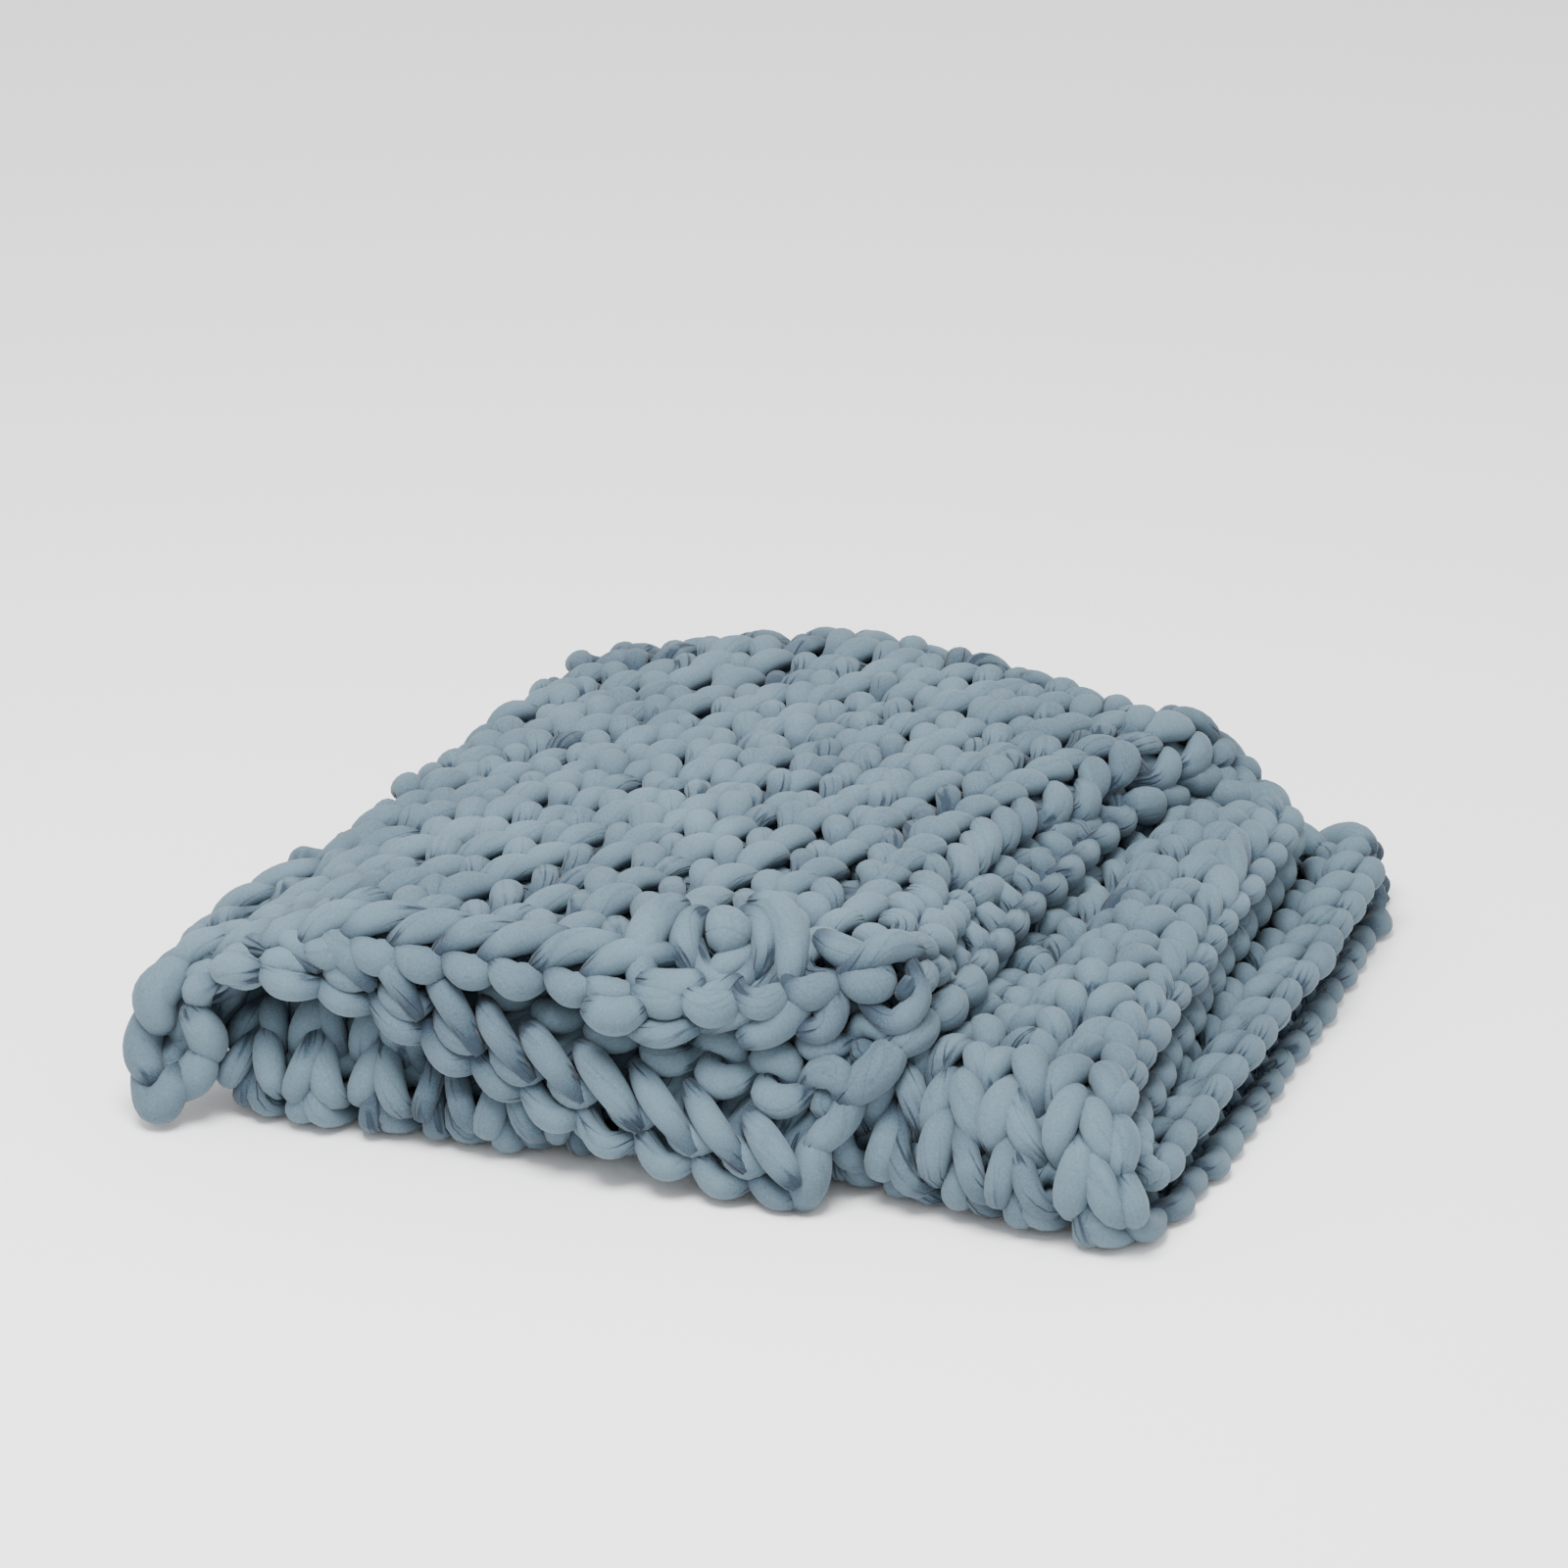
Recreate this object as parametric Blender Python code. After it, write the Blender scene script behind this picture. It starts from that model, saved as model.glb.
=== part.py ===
"""Weighted blanket: one chunky knitted sheet, folded in half and then in three.

The knitted sheet is first doubled, with its fold at the left and both side edges at the
right. The doubled strip is then laid back and forth in three: the top strip starts with
its hems at the front, runs over the back fold into the middle strip, over the front fold
into the bottom strip, and ends at the back. X runs along the front edge, Y to the back.
"""
import math

import bmesh
import bpy

# Sheet, counted in knitted courses from the hem of the top strip to the bound-off end
COURSES = 60
BACK_FOLD = (18, 22)
FRONT_FOLD = (38, 42)

# Heights of the middle of each doubled strip
Z_BOTTOM = 0.0275
Z_MIDDLE = 0.090
Z_TOP = 0.157
Z_NOSE = (Z_MIDDLE + Z_BOTTOM) / 2
CLOTH = 0.025

# Distances of hem, fold centres and end from the front edge of the pile
Y_HEM = 0.008
Y_FRONT = 0.048
Y_BACK = 0.600
Y_END = 0.696

# The pile is moved so that the middle of its box stands on the origin
MOVE = (-0.336, -0.3504, 0.0)

# The under cloth of the top strip hangs over the front fold: extra length at its right edge,
# how that grows along the hem and how it dies out up the strip
HANG = 0.078
HANG_GROWS = 1.15
HANG_FADES = 1.3

# The upper hem dips a little: radius and greatest turn. Its right corner lies further back:
# share of the hem, courses, distance
DIP = (0.2, 0.25)
CORNER = (0.26, 8.0, 0.065)

# The left corner of the top strip turns down over the pile's left side
X_SIDE = 0.0
R_SIDE = 0.067
SIDE_TURN = 1.5

# Mesh lines as (start, step, count): across one cloth to the left fold, round half of that
# fold, and along the strip in courses
ACROSS = ((0.0, 0.075, 9), (0.675, 0.0325, 10), (1.0, 0.25, 4))
ALONG = ((0.0, 0.6, 9), (5.4, 1.8, 7), (18.0, 0.4, 10), (22.0, 3.2, 5),
         (38.0, 0.4, 10), (42.0, 3.0, 7))

# course, left fold, right edge of upper cloth, right edge of under cloth, half gap
STATIONS = (
    (0, -0.160, 0.546, 0.483, 0.0225),
    (3, -0.060, 0.550, 0.548, 0.0220),
    (6, 0.005, 0.552, 0.562, 0.0210),
    (9, 0.024, 0.560, 0.568, 0.0195),
    (12, 0.036, 0.580, 0.575, 0.0190),
    (15, 0.047, 0.612, 0.588, 0.0180),
    (18, 0.052, 0.662, 0.600, 0.0170),
    (20, 0.055, 0.695, 0.650, 0.0170),
    (22, 0.050, 0.702, 0.700, 0.0160),
    (30, 0.010, 0.703, 0.705, 0.0150),
    (38, -0.015, 0.722, 0.715, 0.0150),
    (42, -0.015, 0.742, 0.752, 0.0150),
    (51, -0.010, 0.764, 0.770, 0.0150),
    (60, -0.010, 0.766, 0.774, 0.0150),
)
LEFT, RIGHT_UPPER, RIGHT_UNDER, GAP = 1, 2, 3, 4

# Swells along X, each as middle, reach, amount: of the front and back fold lines, of the top
# strip's height, of the middle strip beside the top one, and of the bottom strip's right rim
FRONT_SWELLS = ((0.45, 0.20, 0.020), (0.74, 0.16, -0.008))
BACK_SWELLS = ((0.29, 0.290, 0.068), (0.05, 0.20, -0.030), (0.65, 0.12, 0.022))
X_BACK = 0.090
CROWN = (0.30, 0.42, 0.016)
CROWN_COURSES = 8.0
RIDGE = (0.645, 0.060, 0.018)
RIM = (0.760, 0.045, 0.012)

# Knot under the upper hem: middle and reach in X, in Y, and height
KNOT = (0.372, 0.070, 0.060, 0.075, 0.018)

# The front bulges near the floor (height, reach, amount), and the left front corner is lower:
# start and width in X, start and width in Y, share of the height
SAG = (0.018, 0.055, 0.024)
SAG_START = 0.045
SLUMP = (0.10, 0.13, 0.30, 0.25, 0.20)

COLOUR = (0.215, 0.300, 0.345, 1.0)


def bump(t):
    """Round hill: 1 at t = 0, flat 0 from t = 1 on."""
    t = min(abs(t), 1.0)
    return (1.0 - t * t) ** 2


def smooth(t):
    """Ease from 0 at t = 0 to 1 at t = 1."""
    t = min(max(t, 0.0), 1.0)
    return t * t * (3.0 - 2.0 * t)


def hill(swell, x):
    """Height of one named swell at x."""
    middle, reach, amount = swell
    return amount * bump((x - middle) / reach)


def station(v, column):
    """Value of one column of the station table at course v, on a smooth line."""
    rows = STATIONS
    i = 0
    while i < len(rows) - 2 and rows[i + 1][0] <= v:
        i += 1
    before, start = rows[max(i - 1, 0)], rows[i]
    end, after = rows[i + 1], rows[min(i + 2, len(rows) - 1)]
    step = end[0] - start[0]
    t = (v - start[0]) / step
    slope_a = (end[column] - before[column]) / (end[0] - before[0]) * step
    slope_b = (after[column] - start[column]) / (after[0] - start[0]) * step
    return ((2 * t ** 3 - 3 * t ** 2 + 1) * start[column]
            + (t ** 3 - 2 * t ** 2 + t) * slope_a
            + (3 * t ** 2 - 2 * t ** 3) * end[column]
            + (t ** 3 - t ** 2) * slope_b)


def front_line(x):
    """Y of the front fold's centre at x."""
    return Y_FRONT + sum(hill(swell, x) for swell in FRONT_SWELLS)


def back_line(x):
    """Y of the back fold's centre at x."""
    return Y_BACK + sum(hill(swell, max(x, X_BACK)) for swell in BACK_SWELLS)


def roll(run, bend, radius, most):
    """Advance and height, from the bend's centre, of a cloth that turns down over a round edge
    and then hangs straight. bend is the radius of its middle, radius that of the point."""
    turn = min(run / bend, most)
    rest = run - turn * bend
    ahead = radius * math.sin(turn) + rest * math.cos(turn)
    height = radius * math.cos(turn) - rest * math.sin(turn)
    return ahead, height


def top_strip(x, v, gap, out, share):
    """Top strip: share is 1 at the upper right edge, 0 at the left fold, -1 at the under edge.
    gap is the height of the cloth's middle over that of the strip, out the point's over it."""
    front = front_line(x)
    y = Y_HEM + (back_line(x) - Y_HEM) * v / BACK_FOLD[0]
    lift = gap + out
    if share < 0.0:
        y -= HANG * (-share) ** HANG_GROWS * (1.0 - v / BACK_FOLD[0]) ** HANG_FADES
        bend, most = Z_TOP + gap - Z_NOSE, math.pi / 2 * smooth((-share - 0.2) / 0.25)
    else:
        reach, courses, amount = CORNER
        y += amount * bump((1.0 - share) / reach) * bump(v / courses)
        bend, most = DIP
    if y < front:
        ahead, height = roll(front - y, bend, bend + out, most)
        y = front - ahead
        lift += height - bend - out
    z = Z_TOP + hill(CROWN, x) * smooth(v / CROWN_COURSES)
    if x >= X_SIDE:
        return x, y, z + lift
    ahead, height = roll(X_SIDE - x, R_SIDE, R_SIDE + lift, SIDE_TURN)
    return X_SIDE - ahead, y, z - R_SIDE + height


def strip_point(x, v, gap, out, share):
    """Point of the pile at x along the front and course v. gap is the distance of the cloth's
    middle from that of the doubled strip, out the distance of the point from the cloth's."""
    front, back, off = front_line(x), back_line(x), gap + out
    if v <= BACK_FOLD[0]:
        return top_strip(x, v, gap, out, share)
    if v < BACK_FOLD[1]:
        top = Z_TOP + hill(CROWN, x)
        turn = math.pi * (v - BACK_FOLD[0]) / (BACK_FOLD[1] - BACK_FOLD[0])
        radius = (top - Z_MIDDLE) / 2 + off
        return x, back + radius * math.sin(turn), (top + Z_MIDDLE) / 2 + radius * math.cos(turn)
    if v <= FRONT_FOLD[0]:
        t = (v - BACK_FOLD[1]) / (FRONT_FOLD[0] - BACK_FOLD[1])
        return x, back + (front - back) * t, Z_MIDDLE - off
    if v < FRONT_FOLD[1]:
        turn = math.pi * (v - FRONT_FOLD[0]) / (FRONT_FOLD[1] - FRONT_FOLD[0])
        radius = (Z_MIDDLE - Z_BOTTOM) / 2 - off
        return x, front - radius * math.sin(turn), (Z_MIDDLE + Z_BOTTOM) / 2 + radius * math.cos(turn)
    t = (v - FRONT_FOLD[1]) / (COURSES - FRONT_FOLD[1])
    return x, front + (Y_END - front) * t, Z_BOTTOM + off


def swelling(x, y, v, side):
    """Extra height where the cloth is not pressed down: ridge, right rim and knot."""
    if side < 0:
        rise = smooth((v - BACK_FOLD[1]) / 4.0) * smooth((FRONT_FOLD[0] - v) / 4.0)
        return hill(RIDGE, x) * rise
    if v > FRONT_FOLD[1]:
        return hill(RIM, x) * smooth((v - FRONT_FOLD[1]) / 4.0)
    if v < 6:
        x0, dx, y0, dy, height = KNOT
        return height * bump((x - x0) / dx) * bump((y - y0) / dy)
    return 0.0


def cloth_point(side, q, v, out):
    """side 1 is the upper cloth, -1 the under one; q runs 0 to 1 from the right edge to the
    left fold and 1 to 2 round it; out is the distance from the cloth's middle to its face."""
    left, gap = station(v, LEFT), station(v, GAP)
    right = station(v, RIGHT_UPPER if side > 0 else RIGHT_UNDER)
    if q <= 1.0:
        x = right - (right - left - gap) * q
        x, y, z = strip_point(x, v, side * gap, side * out, side * (1.0 - q))
    else:
        turn = (q - 1.0) * math.pi / 2
        x = left + gap - (gap + out) * math.sin(turn)
        x, y, z = strip_point(x, v, 0.0, side * (gap + out) * math.cos(turn), 0.0)
    z += swelling(x, y, v, side)
    x0, dx, y0, dy, amount = SLUMP
    z *= 1.0 - amount * smooth((x0 - x) / dx) * smooth((y0 - y) / dy)
    low, reach, amount = SAG
    y -= amount * bump((z - low) / reach) * smooth((SAG_START - y) / SAG_START)
    return x + MOVE[0], y + MOVE[1], z + MOVE[2]


def spread(runs):
    """All values of a list of runs, each as start, step and count."""
    return [start + i * step for start, step, count in runs for i in range(count)]


def columns():
    """(side, q) of each line of the mesh, from one right edge round the fold to the other."""
    half = spread(ACROSS)
    upper = [(1, q) for q in half]
    under = [(-1, q) for q in reversed(half)]
    return upper + [(1, 2.0)] + under


def add_face(bm, out):
    """One face of the cloth, at the distance out from its middle, as a grid."""
    lines = columns()
    grid = [[bm.verts.new(cloth_point(side, q, v, out)) for side, q in lines]
            for v in spread(ALONG)]
    for near, far in zip(grid, grid[1:]):
        for i in range(len(lines) - 1):
            bm.faces.new((near[i], near[i + 1], far[i + 1], far[i]))


def make_cloth():
    """The slab: its outer and inner face, joined by a rim along hems and side edges."""
    bm = bmesh.new()
    add_face(bm, CLOTH / 2)
    add_face(bm, -CLOTH / 2)
    edges = [edge for edge in bm.edges if edge.is_boundary]
    bmesh.ops.bridge_loops(bm, edges=edges)
    bmesh.ops.recalc_face_normals(bm, faces=bm.faces)
    mesh = bpy.data.meshes.new("blanket")
    bm.to_mesh(mesh)
    bm.free()
    return mesh


def yarn_material():
    material = bpy.data.materials.new("slate_blue_cotton")
    material.use_nodes = True
    shader = material.node_tree.nodes["Principled BSDF"]
    shader.inputs["Base Color"].default_value = COLOUR
    shader.inputs["Roughness"].default_value = 0.9
    shader.inputs["Metallic"].default_value = 0.0
    return material


def main():
    for old in list(bpy.data.objects):
        bpy.data.objects.remove(old, do_unlink=True)
    blanket = bpy.data.objects.new("blanket", make_cloth())
    bpy.context.collection.objects.link(blanket)
    blanket.data.materials.append(yarn_material())


main()
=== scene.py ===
# %% [markdown]
# # A chunky knitted weighted blanket, folded on the floor
#
# The blanket is one long stuffed cotton tube, thick as a finger, knitted by hand into a sheet.
# The sheet is folded in half, then laid back and forth in three, so the pile has six layers.
# The frame loaded here holds the pile as plain folded layers. This lesson lays the stitches
# along them: first the fold, as a map from the flat sheet into space, then the stitches
# on the flat sheet, and last the cotton, the floor, the light and the camera.

# %% Load the frame
import math
import random

import bmesh
import bpy
from mathutils import Matrix, Vector


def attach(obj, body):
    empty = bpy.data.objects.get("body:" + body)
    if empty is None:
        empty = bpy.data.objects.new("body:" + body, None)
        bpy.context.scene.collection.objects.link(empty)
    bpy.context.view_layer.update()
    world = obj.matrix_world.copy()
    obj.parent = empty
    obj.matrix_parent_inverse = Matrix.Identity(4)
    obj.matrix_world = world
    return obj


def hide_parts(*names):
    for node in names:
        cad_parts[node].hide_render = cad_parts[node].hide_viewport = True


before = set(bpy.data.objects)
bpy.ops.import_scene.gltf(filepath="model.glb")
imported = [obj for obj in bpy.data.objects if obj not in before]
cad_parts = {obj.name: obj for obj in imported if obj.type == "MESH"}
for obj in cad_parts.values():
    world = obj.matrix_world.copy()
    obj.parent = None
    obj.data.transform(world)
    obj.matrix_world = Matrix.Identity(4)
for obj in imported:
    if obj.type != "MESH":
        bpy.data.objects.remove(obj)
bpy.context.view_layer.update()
BODY = "root"

# %% [markdown]
# ## The camera
# A folded blanket is shown from a low front corner with a long lens, which keeps its sides
# nearly parallel. The camera looks down at the same angle as a standing person a few metres
# away. Its place is worked out from the point it looks at, the turn, the pitch and the
# distance, so each can be changed alone.

# %% Camera from turn, pitch and distance
PILE_SHIFT = Vector((-0.336, -0.3504, 0.0))
TURN = math.radians(19.0)
PITCH = math.radians(22.0)
DISTANCE = 4.5
LENS = 123.75
AIM = Vector((0.32456, 0.34939, 0.19597)) + PILE_SHIFT


def add_camera():
    data = bpy.data.cameras.new("camera")
    data.lens = LENS
    data.sensor_width = 36.0
    data.clip_end = 40.0
    camera = bpy.data.objects.new("camera", data)
    bpy.context.collection.objects.link(camera)
    turn = Matrix.Rotation(TURN, 4, "Z") @ Matrix.Rotation(math.pi / 2 - PITCH, 4, "X")
    place = AIM + turn @ Vector((0.0, 0.0, DISTANCE))
    camera.matrix_world = Matrix.Translation(place) @ turn
    bpy.context.scene.camera = camera
    return camera


camera = add_camera()
print("camera at", tuple(round(c, 3) for c in camera.location))

# %% [markdown]
# ## The fold
# A cloth that is only bent can be described on its flat sheet. Here u counts stitches across
# the sheet, v counts courses along it, and out is the height over the middle of the cloth.
# The map below takes such a flat place to its place in the pile. Each strip is flat, each
# fold is a half circle, and a short table says where the edges run.

# %% Sizes of the fold
COURSES = 60
BACK_FOLD = (18, 22)
FRONT_FOLD = (38, 42)
Z_BOTTOM = 0.0275
Z_MIDDLE = 0.090
Z_TOP = 0.157
Z_NOSE = (Z_MIDDLE + Z_BOTTOM) / 2
Y_HEM = 0.008
Y_FRONT = 0.048
Y_BACK = 0.600
Y_END = 0.696

# course, left fold, right edge of upper cloth, right edge of under cloth, half gap
STATIONS = (
    (0, -0.160, 0.546, 0.483, 0.0225),
    (3, -0.060, 0.550, 0.548, 0.0220),
    (6, 0.005, 0.552, 0.562, 0.0210),
    (9, 0.024, 0.560, 0.568, 0.0195),
    (12, 0.036, 0.580, 0.575, 0.0190),
    (15, 0.047, 0.612, 0.588, 0.0180),
    (18, 0.052, 0.662, 0.600, 0.0170),
    (20, 0.055, 0.695, 0.650, 0.0170),
    (22, 0.050, 0.702, 0.700, 0.0160),
    (30, 0.010, 0.703, 0.705, 0.0150),
    (38, -0.015, 0.722, 0.715, 0.0150),
    (42, -0.015, 0.742, 0.752, 0.0150),
    (51, -0.010, 0.764, 0.770, 0.0150),
    (60, -0.010, 0.766, 0.774, 0.0150),
)
LEFT, RIGHT_UPPER, RIGHT_UNDER, GAP = 1, 2, 3, 4

# Where the under cloth hangs over the front, the upper hem dips and the corner turns down
HANG = 0.073
HANG_GROWS = 1.15
HANG_FADES = 1.3
DIP = (0.2, 0.25)
CORNER = (0.26, 8.0, 0.065)
X_SIDE = 0.0
R_SIDE = 0.067
SIDE_TURN = 1.5

# Swells: middle, reach, amount
FRONT_SWELLS = ((0.45, 0.20, 0.020), (0.74, 0.16, -0.008))
BACK_SWELLS = ((0.29, 0.290, 0.068), (0.05, 0.20, -0.030), (0.65, 0.12, 0.022))
X_BACK = 0.090
CROWN = (0.30, 0.42, 0.016)
CROWN_COURSES = 8.0
RIDGE = (0.645, 0.060, 0.018)
RIM = (0.760, 0.045, 0.012)
KNOT = (0.372, 0.070, 0.060, 0.075, 0.003)
SAG = (0.018, 0.055, 0.024)
SAG_START = 0.045
SLUMP = (0.10, 0.13, 0.30, 0.25, 0.20)
TUCK = (0.05, 0.22, 0.042)
TUCK_COURSES = 4.0


# %% Small shapes that the map is made of
def bump(t):
    """Round hill: 1 at t = 0, flat 0 from t = 1 on."""
    t = min(abs(t), 1.0)
    return (1.0 - t * t) ** 2


def smooth(t):
    """Ease from 0 at t = 0 to 1 at t = 1."""
    t = min(max(t, 0.0), 1.0)
    return t * t * (3.0 - 2.0 * t)


def hill(swell, x):
    middle, reach, amount = swell
    return amount * bump((x - middle) / reach)


def station(v, column):
    """Value of one column of the station table at course v, on a smooth line."""
    rows = STATIONS
    v = min(max(v, 0.0), float(COURSES))
    i = 0
    while i < len(rows) - 2 and rows[i + 1][0] <= v:
        i += 1
    before, start = rows[max(i - 1, 0)], rows[i]
    end, after = rows[i + 1], rows[min(i + 2, len(rows) - 1)]
    step = end[0] - start[0]
    t = (v - start[0]) / step
    slope_a = (end[column] - before[column]) / (end[0] - before[0]) * step
    slope_b = (after[column] - start[column]) / (after[0] - start[0]) * step
    return ((2 * t ** 3 - 3 * t ** 2 + 1) * start[column]
            + (t ** 3 - 2 * t ** 2 + t) * slope_a
            + (3 * t ** 2 - 2 * t ** 3) * end[column]
            + (t ** 3 - t ** 2) * slope_b)


def front_line(x):
    return Y_FRONT + sum(hill(swell, x) for swell in FRONT_SWELLS)


def back_line(x):
    return Y_BACK + sum(hill(swell, max(x, X_BACK)) for swell in BACK_SWELLS)


def roll(run, bend, radius, most):
    """Advance and height of a cloth that turns down over a round edge and then hangs straight."""
    turn = min(run / bend, most)
    rest = run - turn * bend
    ahead = radius * math.sin(turn) + rest * math.cos(turn)
    height = radius * math.cos(turn) - rest * math.sin(turn)
    return ahead, height


# %% The map itself, strip by strip
def top_strip(x, v, gap, out, share):
    """Top strip: share is 1 at the upper right edge, 0 at the left fold, -1 at the under edge."""
    front = front_line(x)
    y = Y_HEM + (back_line(x) - Y_HEM) * v / BACK_FOLD[0]
    lift = gap + out
    if share < 0.0:
        y -= HANG * (-share) ** HANG_GROWS * (1.0 - v / BACK_FOLD[0]) ** HANG_FADES
        bend, most = Z_TOP + gap - Z_NOSE, math.pi / 2 * smooth((-share - 0.2) / 0.25)
    else:
        reach, courses, amount = CORNER
        y += amount * bump((1.0 - share) / reach) * bump(v / courses)
        bend, most = DIP
    if y < front:
        ahead, height = roll(front - y, bend, bend + out, most)
        y = front - ahead
        lift += height - bend - out
    z = Z_TOP + hill(CROWN, x) * smooth(v / CROWN_COURSES)
    if x >= X_SIDE:
        return x, y, z + lift
    ahead, height = roll(X_SIDE - x, R_SIDE, R_SIDE + lift, SIDE_TURN)
    return X_SIDE - ahead, y, z - R_SIDE + height


def strip_point(x, v, gap, out, share):
    """Point of the pile at x along the front and course v."""
    front, back, off = front_line(x), back_line(x), gap + out
    if v <= BACK_FOLD[0]:
        return top_strip(x, v, gap, out, share)
    if v < BACK_FOLD[1]:
        top = Z_TOP + hill(CROWN, x)
        turn = math.pi * (v - BACK_FOLD[0]) / (BACK_FOLD[1] - BACK_FOLD[0])
        radius = (top - Z_MIDDLE) / 2 + off
        return x, back + radius * math.sin(turn), (top + Z_MIDDLE) / 2 + radius * math.cos(turn)
    if v <= FRONT_FOLD[0]:
        t = (v - BACK_FOLD[1]) / (FRONT_FOLD[0] - BACK_FOLD[1])
        return x, back + (front - back) * t, Z_MIDDLE - off
    if v < FRONT_FOLD[1]:
        turn = math.pi * (v - FRONT_FOLD[0]) / (FRONT_FOLD[1] - FRONT_FOLD[0])
        radius = (Z_MIDDLE - Z_BOTTOM) / 2 - off
        return x, front - radius * math.sin(turn), Z_NOSE + radius * math.cos(turn)
    t = (v - FRONT_FOLD[1]) / (COURSES - FRONT_FOLD[1])
    return x, front + (Y_END - front) * t, Z_BOTTOM + off


def swelling(x, y, v, side):
    """Extra height where the cloth is not pressed down: ridge, right rim and knot."""
    if side < 0:
        rise = smooth((v - BACK_FOLD[1]) / 4.0) * smooth((FRONT_FOLD[0] - v) / 4.0)
        return hill(RIDGE, x) * rise + hill(TUCK, x) * smooth((TUCK_COURSES - v) / TUCK_COURSES)
    if v > FRONT_FOLD[1]:
        return hill(RIM, x) * smooth((v - FRONT_FOLD[1]) / 4.0)
    if v < 6:
        x0, dx, y0, dy, height = KNOT
        return height * bump((x - x0) / dx) * bump((y - y0) / dy)
    return 0.0


def cloth_point(side, q, v, out):
    """side 1 is the upper cloth, -1 the under one; q runs 0 to 1 from the right edge to the
    left fold and 1 to 2 round it; out is the distance from the cloth's middle."""
    left, gap = station(v, LEFT), station(v, GAP)
    right = station(v, RIGHT_UPPER if side > 0 else RIGHT_UNDER)
    if q <= 1.0:
        x = right - (right - left - gap) * q
        x, y, z = strip_point(x, v, side * gap, side * out, side * (1.0 - q))
    else:
        turn = (q - 1.0) * math.pi / 2
        x = left + gap - (gap + out) * math.sin(turn)
        x, y, z = strip_point(x, v, 0.0, side * (gap + out) * math.cos(turn), 0.0)
    z += swelling(x, y, v, side)
    x0, dx, y0, dy, amount = SLUMP
    z *= 1.0 - amount * smooth((x0 - x) / dx) * smooth((y0 - y) / dy)
    low, reach, amount = SAG
    y -= amount * bump((z - low) / reach) * smooth((SAG_START - y) / SAG_START)
    return Vector((x, y, z)) + PILE_SHIFT


# %% [markdown]
# ## From stitch counts to places
# Wales are the columns of stitches and courses are the rows. The blanket was folded in half
# a little off its middle, so the upper cloth of the top strip holds fewer wales than the
# cloth under it. A short table gives the wale that lies on the left fold, and a slow random
# drift keeps the columns from running as straight as in machine knitting.

# %% Place of stitch u in row v
ROWS = 56
FOLD_WALES = ((0, 11.4), (3, 10.8), (6, 10.9), (10, 11.1), (16, 11.9), (20, 12.6), (22, 14.0))
WALES = 28
TOP_WALES = 25          # the under cloth of the top strip lies gathered, out of sight
TOP_ROWS = 17
DRIFT = ((0.10, 0.31, 0.17, 0.4), (0.08, -0.23, 0.41, 2.1), (0.06, 0.57, 0.29, 4.0))
EDGE_IN = 0.012


def between(table, v):
    """Value of a two-column table at v, on a straight line."""
    for (v0, a), (v1, b) in zip(table, table[1:]):
        if v <= v1:
            return a + (b - a) * max(v - v0, 0.0) / (v1 - v0)
    return table[-1][1]


def wales_in(row):
    """Number of stitches in a row."""
    return TOP_WALES if row < TOP_ROWS else WALES


def flat_point(u, v, out, wales):
    """Place of wale u of so many, course v, in the folded cloth, out metres outside it."""
    fold = between(FOLD_WALES, v)
    side = 1 if u <= fold else -1
    share = u / fold if side > 0 else (wales - u) / (wales - fold)
    gap = station(v, GAP)
    run = station(v, RIGHT_UPPER if side > 0 else RIGHT_UNDER) - station(v, LEFT) - gap
    along = EDGE_IN + share * (run + gap * math.pi / 2 - EDGE_IN)
    q = along / run if along < run else 1.0 + (along - run) / (gap * math.pi / 2)
    return cloth_point(side, q, v, out)


# %% [markdown]
# ## The rolled border
# Plain knitting curls at its edges. The right border of the top strip has rolled down over
# the layer below, so its last wale or two stand on the side of the pile. The flat map is
# kept up to the wale where the roll starts, and from there the place turns on a circle.

# %% Roll the right border of the top strip
ROLL = ((0, 0.4), (3, 0.9), (9, 1.3), (20, 1.5), (24, 0.0))
ROLL_RADIUS = 0.036
ROLL_MOST = math.pi * 0.6


def pile_point(u, v, out, wales):
    """The same place in the pile, with the right border of the top strip rolled down."""
    start = between(ROLL, v)
    if u >= start:
        return flat_point(u, v, out, wales)
    middle = flat_point(start, v, 0.0, wales)
    up = (flat_point(start, v, 0.01, wales) - middle).normalized()
    step = flat_point(start - 0.1, v, 0.0, wales) - middle
    turn = (start - u) * step.length / 0.1 / ROLL_RADIUS
    rest = max(turn - ROLL_MOST, 0.0) * ROLL_RADIUS
    turn = min(turn, ROLL_MOST)
    ahead = (ROLL_RADIUS + out) * math.sin(turn) + rest * math.cos(turn)
    rise = (ROLL_RADIUS + out) * math.cos(turn) - ROLL_RADIUS - rest * math.sin(turn)
    return middle + step.normalized() * ahead + up * rise


def drifted(u, row, wales):
    """Stitch place moved by the slow drift; rows are spread over the courses of the map."""
    v = row * COURSES / ROWS
    wander = sum(a * math.sin(b * u + c * row + d) for a, b, c, d in DRIFT)
    hold = smooth(min(u, wales - u) / 2.0)
    return u + wander * hold, v + wander * smooth(row / 3.0)


print("front left", tuple(round(c, 3) for c in pile_point(13, 40, 0, WALES)))

# %% [markdown]
# ## The stitch
# Plain knitting is rows of bights drawn through one another. From the front each stitch shows
# two legs, like a V, and its head and feet lie behind the legs of the next row. One formula
# gives the whole row: the yarn swings up and down once a stitch, side to side twice and in
# and out twice. The tube is stuffed, so it is fat between the crossings and thin where it is
# nipped by its neighbours. The top cloth hangs askew, which fills one leg and pulls the other.

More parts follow.
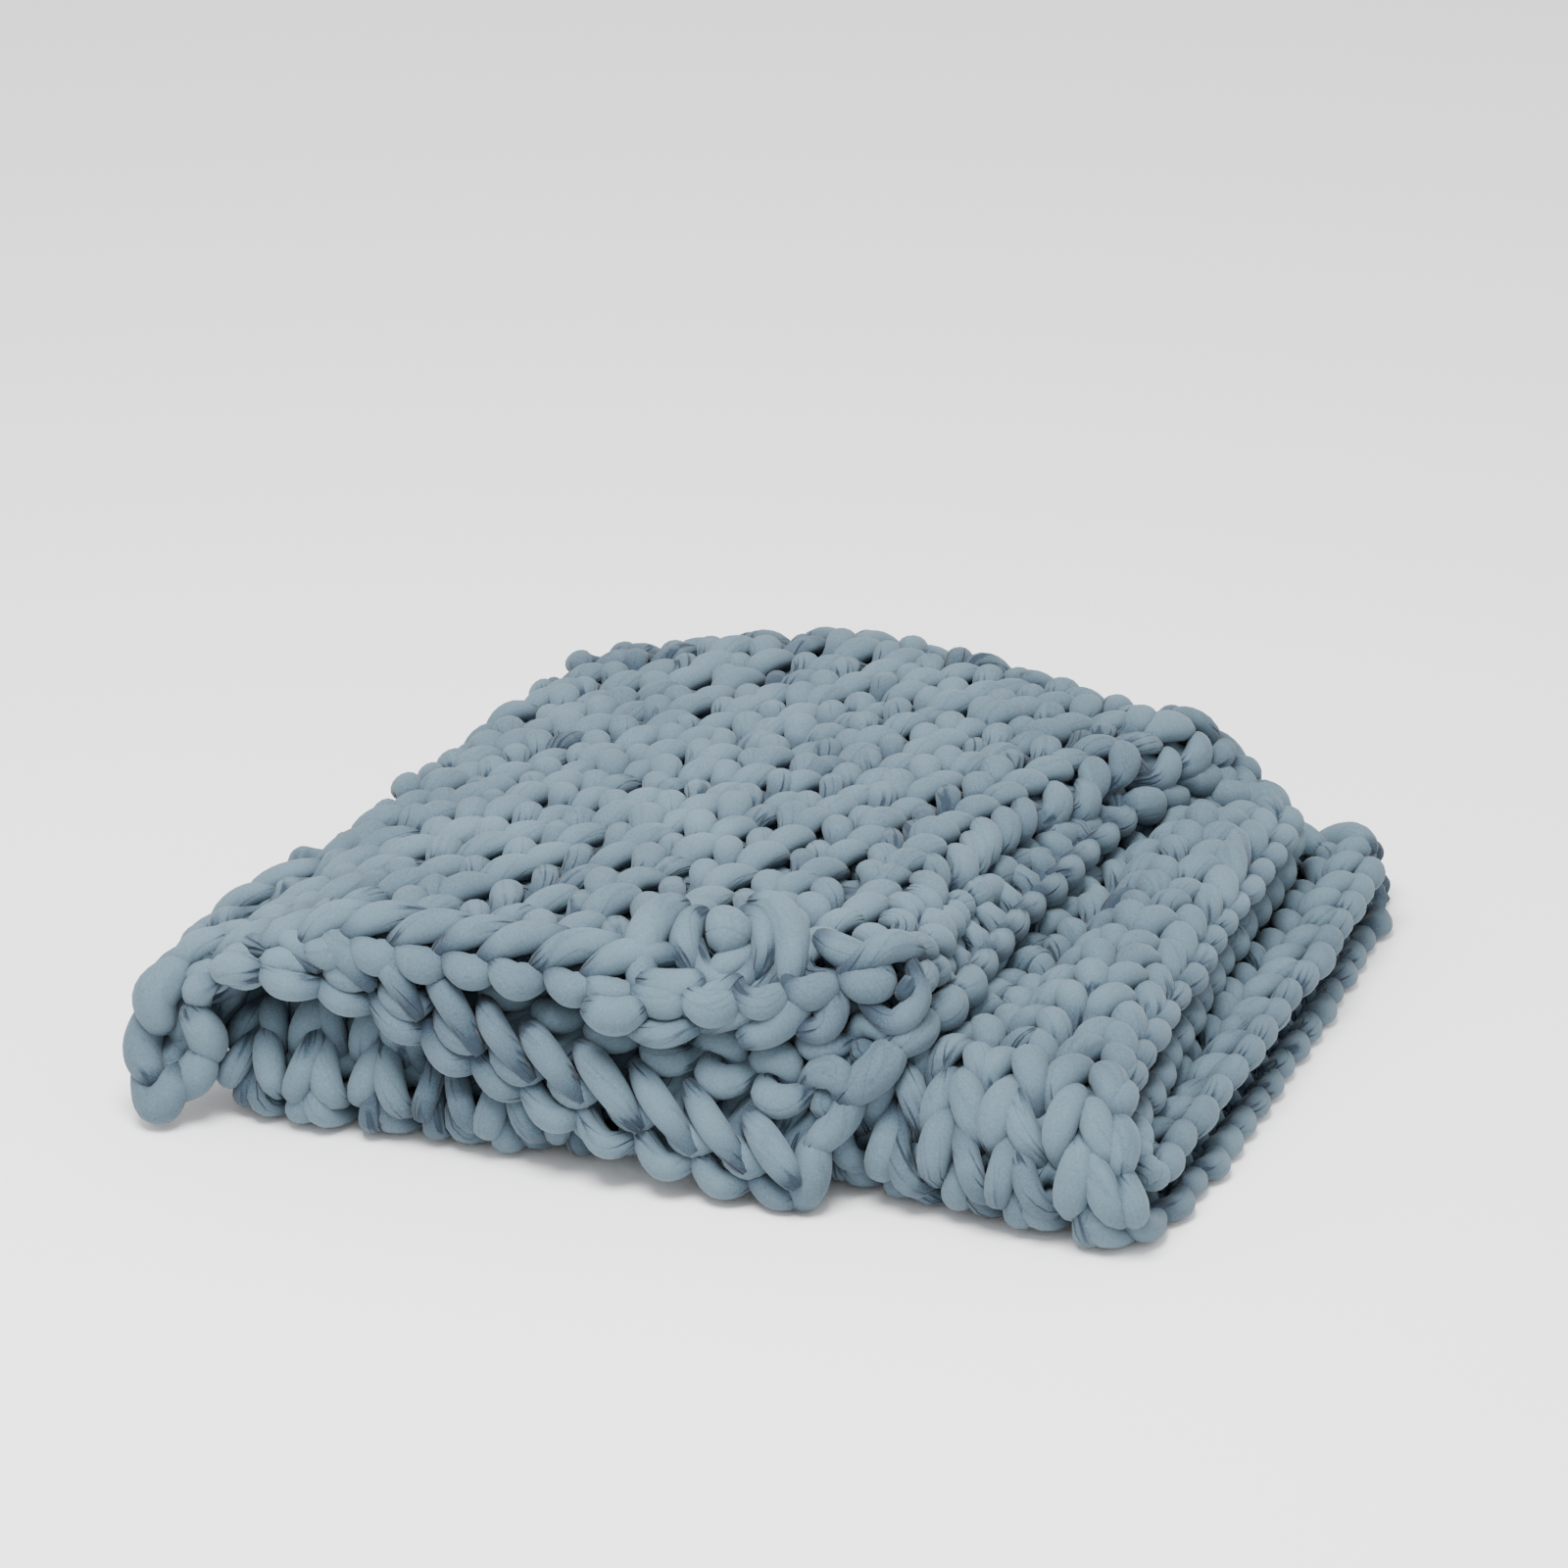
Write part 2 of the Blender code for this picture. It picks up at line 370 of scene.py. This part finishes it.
# %% Values of a stitch
RISE = 0.82             # half height of a stitch, in rows
DEPTH = 0.0115          # swing in and out, in metres
HEAD = 0.0125           # radius of the tube on its head and feet
INNER_HEAD = 0.0145     # the same where the inner side of the cloth shows
NECK = 0.0085           # radius where it is nipped
TOP_PRESS = (1.00, 0.74)        # the tube is pressed: wider along the cloth, flatter across it
OTHER_PRESS = (1.00, 0.86)
# of each leg: side swing, radius, lift, and over 1 for a leg that runs out to points
EVEN_LEGS = ((0.25, 0.0128, 0.0, 1.2), (0.25, 0.0128, 0.0, 1.2))
FRONT_LEGS = ((0.24, 0.0126, 0.0, 1.3), (0.24, 0.0126, 0.0, 1.3))
FRONT_RISE = 0.96       # half height of a stitch on the front fold, where the bights hang loose
PAIR = 0.035            # wales by which the two legs of an even stitch draw together
SKEW_LEGS = ((0.17, 0.0142, 0.0002, 0.8), (0.26, 0.0132, 0.0010, 1.2))
TOP_DEPTH = 0.0100      # swing in and out of the pressed top strip
FINE = 28
COARSE = 6
CROWD = 0.040           # how far the points crowd on the legs, or inside the cloth on the heads
SIDES = 16
END_POINTS = 4          # points over which a run tapers at its ends
END_OUT = 0.003         # where its ends hide in the edge bights
END_THIN = 0.3          # share of its radius that is left at the ends
dice = random.Random(7)


def loose_leg():
    """Small chance differences of one leg: sideways, along the column, outwards, thickness."""
    return (dice.gauss(0, 0.07), dice.gauss(0, 0.12), dice.gauss(0, 0.0022), dice.gauss(0, 0.11))


def shows_inside(i, j):
    """True for stitches of the under cloth whose inner side shows above the lower hem."""
    return j < 4 and i > between(FOLD_WALES, j)


def stitch_point(i, j, t, legs):
    """One point of the yarn in stitch i of row j, t from 0 to 1, as u, row, out and radius."""
    a = 2 * math.pi * t
    half = 0 if t < 0.5 else 1
    course = j * COURSES / ROWS
    rise, depth, pair, kind = RISE, DEPTH, PAIR, EVEN_LEGS
    if course < BACK_FOLD[0]:
        depth, pair, kind = TOP_DEPTH, 0.0, SKEW_LEGS
    elif FRONT_FOLD[0] - 1 < course < FRONT_FOLD[1]:
        rise, kind = FRONT_RISE, FRONT_LEGS
    swing, fat, lift, pointed = kind[half]
    du, dv, dout, extra = legs[half]
    on_leg = math.sin(a) ** 2
    u = i + t + swing * math.sin(2 * a) + (du + (pair, -pair)[half]) * on_leg
    v = j + 0.5 - rise * math.cos(a) + dv * on_leg
    out = -depth * math.cos(2 * a) + (dout + lift) * on_leg
    head = INNER_HEAD if shows_inside(i, j) else HEAD
    full, power = (fat * (1 + extra), pointed) if on_leg > 0.5 else (head, 0.9)
    radius = NECK + (full - NECK) * abs(math.cos(2 * a)) ** power
    return u, v, out, radius


# %% Which stitches are seen, and the points of a row
def shows(i, j):
    """True for stitches on the outside of the pile."""
    v = j * COURSES / ROWS
    fold, wales = between(FOLD_WALES, v), wales_in(j)
    upper = i < fold
    if v < BACK_FOLD[1] + 1 and upper:
        return True
    if v < 4 and not upper:
        return True
    if abs(i - fold) < 1.6 or i < 2 or i > wales - 3:
        return True
    if BACK_FOLD[1] <= v < FRONT_FOLD[0] and i > wales - 5:
        return True
    if FRONT_FOLD[0] - 2 <= v <= FRONT_FOLD[1] + 1 and not upper:
        return True
    return v > FRONT_FOLD[1] and (i < 4 or v > COURSES - 3)


def row_points(j):
    """All points of row j, from the right edge of the upper cloth to that of the under one."""
    points = []
    wales = wales_in(j)
    for i in range(wales):
        legs = (loose_leg(), loose_leg())
        steps = FINE if shows(i, j) else COARSE
        crowd = -CROWD if shows_inside(i, j) else CROWD
        points += [stitch_point(i, j, k / steps + crowd * math.sin(4 * math.pi * k / steps), legs)
                   for k in range(steps)]
    points.append(stitch_point(wales, j, 0.0, (loose_leg(), loose_leg())))
    for k in range(END_POINTS):
        inward = k / END_POINTS
        for place in (k, -1 - k):
            u, v, out, radius = points[place]
            thin = END_THIN + (1 - END_THIN) * inward
            points[place] = (u, v, END_OUT + (out - END_OUT) * inward, radius * thin)
    return points


# %% [markdown]
# ## Tubes
# A curve with a round bevel is the simplest tube in Blender. Each run of yarn becomes one
# spline whose points carry their own radius, then the curve is made a mesh. Each ring of the
# mesh belongs to one spline point, so the length along the yarn and the direction round it
# can be stored on the vertices, for creases that follow the strand. Cloth near the floor is
# pressed flat on it.

# %% Press a mesh on the floor
FLOOR_SOFT = 0.010
TWIST = 24.0            # radians a metre by which the folds wind round the strand
NIP_REACH = 6           # points to each side that tell how fat the tube is nearby
MARK_RADIUS = 0.012     # radius of the circle that stands for the direction round the strand


def press_on_floor(mesh):
    """Eases everything near the floor up onto it."""
    for vertex in mesh.vertices:
        if vertex.co.z < FLOOR_SOFT:
            vertex.co.z = FLOOR_SOFT * math.exp((vertex.co.z - FLOOR_SOFT) / FLOOR_SOFT)


# %% Mark the strand on the mesh
def mark_strand(mesh, runs, sides):
    """Stores on each vertex its place along the yarn, its direction round it and the nip.
    A place that comes with a way has its ring pressed that way, by the square of its length."""
    caps, rings = [], []
    for run in runs:
        length = dice.uniform(0.0, 40.0)
        last = run[0][0]
        marks = []
        for at, (place, radius, *outward) in enumerate(run):
            length += (place - last).length
            last = place
            nearby = run[max(at - NIP_REACH, 0):at + NIP_REACH + 1]
            full = min(HEAD, max(point[1] for point in nearby))
            # The nip shapes the folds and also marks where the jersey material paints shade: the
            # colour goes darker where the tube is nipped between its neighbours, in the gaps that
            # light hardly reaches.
            nip = min(max((1 - radius / full) / (1 - NECK / HEAD), 0.0), 1.0)
            ring = []
            for k in range(sides):
                turn = 2 * math.pi * k / sides
                twisted = turn + TWIST * length
                round_it = MARK_RADIUS * math.cos(twisted), MARK_RADIUS * math.sin(twisted)
                ring.append((Vector((length, *round_it)), nip, place, outward))
            marks.append(ring)
        caps = marks[-1] + marks[0] + caps
        rings += [mark for ring in marks for mark in ring]
    bm = bmesh.new()
    bm.from_mesh(mesh)
    strand = bm.verts.layers.float_vector.new("strand")
    nips = bm.verts.layers.float.new("nip")
    for vertex, (along, nip, place, outward) in zip(bm.verts, caps + rings):
        vertex[strand] = along
        vertex[nips] = nip
        for way in outward:
            vertex.co -= way * way.dot(vertex.co - place)
    bmesh.ops.remove_doubles(bm, verts=bm.verts, dist=1e-6)
    bm.to_mesh(mesh)
    bm.free()


# %% A tube along a list of places
def add_tube(name, runs, sides=SIDES):
    """One mesh of tubes. runs is a list of lines of (place, radius) or (place, radius, way)."""
    curve = bpy.data.curves.new(name, "CURVE")
    curve.dimensions = "3D"
    curve.bevel_depth = 1.0
    curve.bevel_resolution = max(sides // 2 - 2, 0)
    curve.use_fill_caps = True
    for run in runs:
        line = curve.splines.new("POLY")
        line.points.add(len(run) - 1)
        for point, (place, radius, *_) in zip(line.points, run):
            point.co = (*place, 1.0)
            point.radius = radius
    drawn = bpy.data.objects.new(name, curve)
    bpy.context.collection.objects.link(drawn)
    bpy.context.view_layer.update()
    built = drawn.evaluated_get(bpy.context.evaluated_depsgraph_get())
    mesh = bpy.data.meshes.new_from_object(built)
    bpy.data.objects.remove(drawn, do_unlink=True)
    mesh.name = name
    mark_strand(mesh, runs, sides)
    press_on_floor(mesh)
    mesh.shade_smooth()
    piece = bpy.data.objects.new(name, mesh)
    bpy.context.collection.objects.link(piece)
    print(name, sum(len(face.vertices) - 2 for face in mesh.polygons), "triangles")
    return piece


# %% [markdown]
# ## Knit the sheet
# The sheet is knitted strip by strip, as it lies in the pile, so that each strip is a mesh of
# a handy size. Some bights were pulled out when the blanket was folded, so the tube is a
# little thicker at the right front corner and along the ridge.

# %% Strips of rows
STRIPS = (("top_strip_front_yarn", 0, 8), ("top_strip_back_yarn", 8, TOP_ROWS),
          ("back_fold_yarn", TOP_ROWS, 21), ("middle_strip_yarn", 21, 35),
          ("front_fold_yarn", 35, 41), ("bottom_strip_front_yarn", 41, 49),
          ("bottom_strip_back_yarn", 49, ROWS))
PULLED = ((0.70, 0.02, 0.08), 0.15, 0.06)      # where, how far round, how much thicker
RIDGE_STRANDS = (0.665, 0.050, 0.12)           # the same along the ridge


def thicker(place, radius):
    """Radius of the tube at a place, more where bights were pulled out."""
    local = place - PILE_SHIFT
    where, reach, more = PULLED
    x, width, extra = RIDGE_STRANDS
    return radius * (1.0 + more * bump((local - Vector(where)).length / reach)
                     + extra * bump((local.x - x) / width))


def lay(points, wales):
    """Flat places with radii, laid into the pile, each with the way in which it is pressed."""
    run = []
    for u, row, out, radius in points:
        where = drifted(u, row, wales)
        place = pile_point(*where, out, wales)
        wider, flatter = TOP_PRESS if row < TOP_ROWS else OTHER_PRESS
        outward = (pile_point(*where, out + 0.003, wales) - place).normalized()
        run.append((place, thicker(place, radius) * wider, outward * math.sqrt(1 - flatter)))
    return run


pieces = []
for name, first, last in STRIPS:
    pieces.append(add_tube(name, [lay(row_points(j), wales_in(j)) for j in range(first, last)]))

# %% [markdown]
# ## Leaves
# Along the borders the yarn lies in short fat bights that look like leaves, thick in the
# middle and nipped at both ends. Each is a tube through three or more places with a smooth
# line between them. Rows of such leaves make the rope along the hem, the round bights under
# it and the strands along the side edges.

# %% One leaf
def smooth_line(places, steps):
    """Catmull-Rom line through places, with the given steps between each two."""
    ends = [2 * places[0] - places[1]] + list(places) + [2 * places[-1] - places[-2]]
    line = []
    for a, b, c, d in zip(ends, ends[1:], ends[2:], ends[3:]):
        for k in range(steps):
            t = k / steps
            line.append(0.5 * (2 * b + (c - a) * t + (2 * a - 5 * b + 4 * c - d) * t * t
                               + (3 * b - a - 3 * c + d) * t ** 3))
    line.append(Vector(places[-1]))
    return line


def leaf(places, fat, nip=0.35, steps=8, power=0.7, skew=1.0):
    """A leaf through the given places: full in the middle, or later for a skew over 1."""
    line = smooth_line([Vector(p) for p in places], steps)
    last = len(line) - 1
    fat *= 1 + dice.gauss(0, 0.06)
    return [(place, fat * (nip + (1 - nip) * math.sin(math.pi * (k / last) ** skew) ** power))
            for k, place in enumerate(line)]


# %% Equal steps along a border
def border_line(first, last, v, out, wales, step=0.1):
    """Table of length and wale along course v, for leaves at equal steps round a bend."""
    table = [(0.0, first)]
    before = pile_point(first, v, out, wales)
    for k in range(1, round((last - first) / step) + 1):
        here = pile_point(first + k * step, v, out, wales)
        table.append((table[-1][0] + (here - before).length, first + k * step))
        before = here
    return table


def chain(line, first, last, pitch, places, fat, wales=TOP_WALES, **shape):
    """Leaves every pitch from length first to last. places hold steps ahead, course and out."""
    count = round((last - first) / pitch)
    leaves = []
    for k in range(count):
        at = first + (k + 0.5) * (last - first) / count
        sway = dice.gauss(0, 0.05)
        leaves.append(leaf([pile_point(between(line, at + (ahead + sway) * pitch),
                                       v + dice.gauss(0, 0.04), out, wales)
                            for ahead, v, out in places], fat, **shape))
    return leaves


# %% [markdown]
# ## The hem
# The front hem was bound off: a rope of slanting bights runs along it, and a round bight
# hangs below each of them. It goes round the left corner and comes back along the under
# cloth, where the inner side shows: long slanting ovals with a small bight under each. The
# steps are measured along the hem, so they stay equal round the corner.

# %% Place of the knot on the hem
KNOT_PLACE = Vector((0.372, 0.070, 0.206)) + PILE_SHIFT
RIGHT_WAY = Vector((math.cos(TURN), math.sin(TURN), 0.0))
FRONT_WAY = Vector((math.sin(TURN), -math.cos(TURN), 0.0))
ROPE_GAP = (-0.058, 0.112)      # the rope is interrupted there by the strands of the knot


def at_knot(right, front, up):
    """Place so many metres to the right of the knot, in front of it and above it."""
    return KNOT_PLACE + right * RIGHT_WAY + front * FRONT_WAY + Vector((0.0, 0.0, up))


def beside_knot(strand):
    """True for a strand of the rope that does not run through the knot."""
    middle = strand[len(strand) // 2][0]
    return not ROPE_GAP[0] < (middle - KNOT_PLACE).dot(RIGHT_WAY) < ROPE_GAP[1]


# %% Upper hem as far as the corner
ROPE_PITCH = 0.041
CORNER_ROPE_PITCH = 0.050
CORNER_BIGHT_PITCH = 0.040
OVAL_PITCH = 0.048
CORNER_WALE = 9.3
upper_hem = border_line(0.1, 13.2, -0.3, 0.014, TOP_WALES)
corner_start = next(length for length, u in upper_hem if u > CORNER_WALE)
corner_end = upper_hem[-1][0]
hem = chain(upper_hem, 0.0, corner_start, ROPE_PITCH,
            ((0.86, -0.78, 0.003), (0.05, -0.35, 0.018), (-0.90, 0.12, 0.010)),
            0.0132, power=0.65)
hem = [strand for strand in hem if beside_knot(strand)]
hem += chain(upper_hem, 0.02, corner_start, ROPE_PITCH,
             ((0.56, -0.35, 0.004), (0.30, -0.78, 0.000), (-0.06, -1.00, -0.004),
              (-0.36, -0.84, -0.006), (-0.46, -0.40, -0.008)),
             0.0148, nip=0.25, power=0.8, skew=1.25)

# %% Rope and bights round the left corner
hem += chain(upper_hem, corner_start, corner_end, CORNER_ROPE_PITCH,
             ((0.80, -1.30, -0.004), (0.05, -1.10, 0.012), (-0.80, -0.60, 0.010)),
             0.0170, power=0.6)
hem += chain(upper_hem, corner_start, corner_end, CORNER_BIGHT_PITCH,
             ((0.60, -0.40, -0.006), (0.20, -0.55, -0.014), (-0.30, -0.55, -0.014),
              (-0.60, -0.30, -0.010)), 0.0150, power=0.6)

# %% Ovals and small bights of the lower hem
under_hem = border_line(12.8, 25.0, -0.4, -0.010, TOP_WALES)
under_end = under_hem[-1][0]
hem += chain(under_hem, 0.0, under_end, OVAL_PITCH,
             ((-0.90, 0.46, -0.008), (-0.12, 0.12, -0.021), (0.68, -0.46, -0.014)),
             0.0128, power=0.65)
hem += chain(under_hem, 0.0, under_end, OVAL_PITCH,
             ((-0.50, -0.50, 0.000), (0.10, -0.95, -0.003), (0.72, -0.72, 0.002)),
             0.0126, power=0.6)
pieces.append(add_tube("hem_yarn", hem))

# %% [markdown]
# ## The knot
# The yarn end was tied off near the front hem. A round bight stands in a ring of strands, and
# a row of slanting strands and hanging bights runs past in front of it. All of them lie on the
# front slope of the hem, so a strand only needs places to the right of the knot and in front of
# it: the height follows from the slope. The strands of the ring are arcs round the ball.

# %% Slope of the hem in front of the knot
SLOPE_TOP = 0.008       # height of the slope at the knot
SLOPE_FALL = 9.0        # how fast it falls away towards the front
BALL_FRONT = 0.042      # how far in front of the knot's place the round bight stands
RING_STEPS = 3          # steps of an arc of the ring


def on_slope(right, front, lift):
    """Place on the slope, so far to the right of the knot and in front of it."""
    return at_knot(right, front, SLOPE_TOP - SLOPE_FALL * front ** 2 + lift)


def ring_strand(fat, lift, start, start_reach, end, end_reach):
    """Arc round the ball between two directions, in degrees from the right to the front."""
    places = []
    for k in range(RING_STEPS + 1):
        turn = math.radians(start + (end - start) * k / RING_STEPS)
        reach = start_reach + (end_reach - start_reach) * k / RING_STEPS
        places.append(on_slope(reach * math.cos(turn), BALL_FRONT + reach * math.sin(turn), lift))
    return leaf(places, fat, power=0.6)


# %% Strands of the knot
# of each arc: radius, lift, then direction and distance at its start and at its end
KNOT_RING = (
    (0.0115, -0.004, 190, 0.024, 0, 0.030),
    (0.0125, -0.002, 240, 0.027, 135, 0.034),
    (0.0115, -0.002, -65, 0.027, 50, 0.034),
    (0.0150, 0.000, 225, 0.040, 150, 0.075),
    (0.0150, 0.000, -60, 0.038, 40, 0.060),
)
# of each strand: radius, lift, then places to the right and to the front
KNOT_ROW = (
    (0.0155, 0.005, (-0.070, 0.070), (-0.040, 0.075), (-0.015, 0.070)),
    (0.0130, 0.005, (-0.035, 0.085), (-0.010, 0.080), (0.015, 0.070)),
    (0.0165, 0.010, (-0.110, 0.085), (-0.085, 0.090), (-0.060, 0.085)),
    (0.0120, -0.005, (-0.080, 0.085), (-0.050, 0.090), (-0.015, 0.085)),
    (0.0130, 0.000, (-0.020, 0.090), (0.000, 0.085), (0.025, 0.080), (0.050, 0.065)),
    (0.0150, 0.000, (0.010, 0.095), (0.035, 0.090), (0.055, 0.080), (0.055, 0.075)),
    (0.0140, 0.000, (0.055, 0.090), (0.075, 0.090), (0.085, 0.080), (0.080, 0.070)),
    (0.0130, 0.000, (0.055, 0.080), (0.065, 0.075), (0.080, 0.065)),
    (0.0150, 0.005, (0.070, 0.045), (0.090, 0.055), (0.115, 0.065), (0.130, 0.075)),
    (0.0120, 0.005, (0.105, 0.080), (0.130, 0.090), (0.150, 0.080), (0.145, 0.060)),
)
ball = [at_knot(*place) for place in ((-0.015, 0.040, -0.005), (0.000, 0.040, -0.005),
                                      (0.010, 0.035, -0.020))]
knot = [leaf(ball, 0.022, power=0.6)]
knot += [ring_strand(*arc) for arc in KNOT_RING]
knot += [leaf([on_slope(right, front, lift) for right, front in places], fat, power=0.6)
         for fat, lift, *places in KNOT_ROW]
pieces.append(add_tube("knot_yarn", knot))

# %% [markdown]
# ## Side edges
# Each row turns back at the side edges, which leaves one long smooth bight for each row. On
# the hanging corner of the under cloth and round the back fold they were pulled out and are
# larger.

# %% Strands along the side edges
EDGE_BIGHT = ((0.05, -0.1, -0.004), (-0.12, 0.7, 0.003), (0.08, 1.5, 0.0))
EDGE_RADIUS = 0.0120
EDGE_PULLED = 1.35      # how much fatter on the hanging corner and round the back fold
edge = []
for j in range(-1, ROWS - 1):
    v, wales = j * COURSES / ROWS, wales_in(j)
    for u, way in ((0.0, 1), (wales, -1)):
        pulled = (way < 0 and v < 5) or (way > 0 and 15 < v < 23)
        places = [pile_point(u + side * way + dice.gauss(0, 0.03), v + ahead, out, wales)
                  for side, ahead, out in EDGE_BIGHT]
        edge.append(leaf(places, EDGE_RADIUS * (EDGE_PULLED if pulled else 1.0)))
pieces.append(add_tube("side_edge_yarn", edge))

# %% [markdown]
# ## The cast-on end
# The bottom strip ends at the back with the first row that was knitted. Its bights lie on
# their side in a chain of slanting ovals, one for each wale.

# %% Chain along the cast-on end
CAST_ON_PITCH = 0.050
end_line = border_line(0.0, WALES, COURSES, 0.010, WALES)
end_chain = chain(end_line, 0.0, end_line[-1][0], CAST_ON_PITCH,
                  ((0.70, 60.55, 0.004), (0.0, 60.15, 0.016), (-0.70, 59.6, 0.010)),
                  0.0150, wales=WALES, power=0.55)
end_chain += chain(end_line, 0.0, end_line[-1][0], CAST_ON_PITCH,
                   ((0.60, 60.3, -0.004), (0.0, 60.75, -0.004), (-0.60, 60.3, -0.004)),
                   0.0145, wales=WALES, power=0.5)
pieces.append(add_tube("cast_on_yarn", end_chain))

# %% [markdown]
# ## Cotton jersey
# The tube is fine cotton jersey filled with fibre. Its surface shows three things: folds that
# run along the strand and gather where it is nipped, a very fine knit grain across it, and a
# soft change of tone from place to place. All of them read the strand marks, so they follow
# each bight. The colour is also darkened where the tube is nipped and along the fold lines:
# painted shade for the dark gaps and creases between the bights. Cotton is matt, with a little
# sheen from its loose fibres.

# %% Jersey material
def add_node(tree, kind, **values):
    """A node with its inputs and settings given by name."""
    node = tree.nodes.new(kind)
    for name, value in values.items():
        if hasattr(node, name):
            setattr(node, name, value)
        else:
            node.inputs[name.replace("_", " ").title()].default_value = value
    return node


def math_node(tree, operation, a, b=None, clamp=False):
    node = tree.nodes.new("ShaderNodeMath")
    node.operation = operation
    node.use_clamp = clamp
    for socket, value in zip(node.inputs, (a, b)):
        if value is None:
            continue
        if isinstance(value, (int, float)):
            socket.default_value = value
        else:
            tree.links.new(value, socket)
    return node.outputs[0]


def stretched_noise(tree, vector, stretch, detail):
    mapping = add_node(tree, "ShaderNodeMapping")
    mapping.inputs["Scale"].default_value = stretch
    tree.links.new(vector, mapping.inputs["Vector"])
    noise = add_node(tree, "ShaderNodeTexNoise", Scale=1.0, Detail=detail)
    tree.links.new(mapping.outputs[0], noise.inputs["Vector"])
    return noise.outputs["Fac"]


def jersey(name, light, dark):
    material = bpy.data.materials.new(name)
    material.use_nodes = True
    tree = material.node_tree
    shader = tree.nodes["Principled BSDF"]
    shader.inputs["Roughness"].default_value = 0.88
    shader.inputs["Specular IOR Level"].default_value = 0.25
    shader.inputs["Sheen Weight"].default_value = 0.08
    shader.inputs["Sheen Roughness"].default_value = 0.5
    strand = add_node(tree, "ShaderNodeAttribute", attribute_name="strand").outputs["Vector"]
    nip = add_node(tree, "ShaderNodeAttribute", attribute_name="nip").outputs["Fac"]
    place = add_node(tree, "ShaderNodeTexCoord").outputs["Object"]

    folds = stretched_noise(tree, strand, (12.0, 75.0, 75.0), 1.0)
    away = math_node(tree, "ABSOLUTE", math_node(tree, "SUBTRACT", folds, 0.5))
    line = math_node(tree, "SUBTRACT", 1.0, math_node(tree, "MULTIPLY", away, 20.0), clamp=True)
    patch = stretched_noise(tree, strand, (26.0, 40.0, 40.0), 1.0)
    patch = math_node(tree, "MULTIPLY", math_node(tree, "SUBTRACT", patch, 0.44), 7.0, clamp=True)
    gather = math_node(tree, "ADD", math_node(tree, "MULTIPLY", nip, 1.7), 0.16)
    line = math_node(tree, "MULTIPLY", line, math_node(tree, "MULTIPLY", patch, gather))
    soft = math_node(tree, "MULTIPLY", folds, math_node(tree, "ADD", nip, 0.15))
    grain = stretched_noise(tree, strand, (900.0, 500.0, 500.0), 1.0)

    height = math_node(tree, "SUBTRACT", math_node(tree, "MULTIPLY", soft, 2.2), line)
    height = math_node(tree, "ADD", height, math_node(tree, "MULTIPLY", grain, 0.12))
    bump = add_node(tree, "ShaderNodeBump", Strength=1.0, Distance=0.0016)
    tree.links.new(height, bump.inputs["Height"])
    tree.links.new(bump.outputs["Normal"], shader.inputs["Normal"])

    shade = stretched_noise(tree, place, (9.0, 9.0, 9.0), 2.0)
    shade = math_node(tree, "ADD", math_node(tree, "MULTIPLY", shade, 0.6),
                      math_node(tree, "MULTIPLY", grain, 0.35))
    # Painted shade: the colour is darkened where the tube is nipped, in place of the shade in the
    # gaps between the bights.
    shade = math_node(tree, "SUBTRACT", shade, math_node(tree, "MULTIPLY", nip, 0.42))
    # Painted shade: the colour is also darkened along the fold lines, which gather at the nips, in
    # place of the shade inside the creases.
    shade = math_node(tree, "SUBTRACT", shade, math_node(tree, "MULTIPLY", line, 0.58))
    ramp = tree.nodes.new("ShaderNodeValToRGB")
    ramp.color_ramp.elements[0].position = 0.0
    ramp.color_ramp.elements[0].color = dark
    ramp.color_ramp.elements[1].position = 0.75
    ramp.color_ramp.elements[1].color = light
    tree.links.new(shade, ramp.inputs["Fac"])
    tree.links.new(ramp.outputs["Color"], shader.inputs["Base Color"])
    return material


# The darkest tones of the ramp come from the painted shade that is subtracted at the nips and
# along the fold lines.
cotton = jersey("slate_blue_jersey", (0.112, 0.170, 0.209, 1.0), (0.018, 0.032, 0.050, 1.0))
for piece in pieces:
    piece.data.materials.clear()
    piece.data.materials.append(cotton)
    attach(piece, BODY)
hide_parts("blanket")

# %% [markdown]
# ## Floor and light
# A large pale floor, a white world and one wide lamp above the front give the soft
# light of a studio. The lamp only has to be a little stronger than the
# world: then the bights keep a light side, the gaps between them go dark, and the shadow on
# the floor stays soft. The floor belongs to the stage, not to the blanket.

# %% Floor
def add_floor():
    bm = bmesh.new()
    bmesh.ops.create_grid(bm, x_segments=1, y_segments=1, size=12.0)
    mesh = bpy.data.meshes.new("floor")
    bm.to_mesh(mesh)
    bm.free()
    floor = bpy.data.objects.new("floor", mesh)
    bpy.context.collection.objects.link(floor)
    material = bpy.data.materials.new("floor_paper")
    material.use_nodes = True
    shader = material.node_tree.nodes["Principled BSDF"]
    shader.inputs["Base Color"].default_value = (0.95, 0.95, 0.95, 1.0)
    shader.inputs["Roughness"].default_value = 0.8
    mesh.materials.append(material)


add_floor()

# %% World and lamp
world = bpy.data.worlds.new("room")
world.use_nodes = True
world.node_tree.nodes["Background"].inputs["Color"].default_value = (1.0, 1.0, 1.0, 1.0)
world.node_tree.nodes["Background"].inputs["Strength"].default_value = 1.42
bpy.context.scene.world = world


def add_light(name, place, size, power):
    data = bpy.data.lights.new(name, "AREA")
    data.shape = "DISK"
    data.size = size
    data.energy = power
    lamp = bpy.data.objects.new(name, data)
    bpy.context.collection.objects.link(lamp)
    lamp.location = place
    lamp.rotation_euler = (Vector((0, 0, 0.1)) - Vector(place)).to_track_quat("-Z", "Y").to_euler()


add_light("window", (0.0, -1.3, 3.1), 1.8, 230.0)
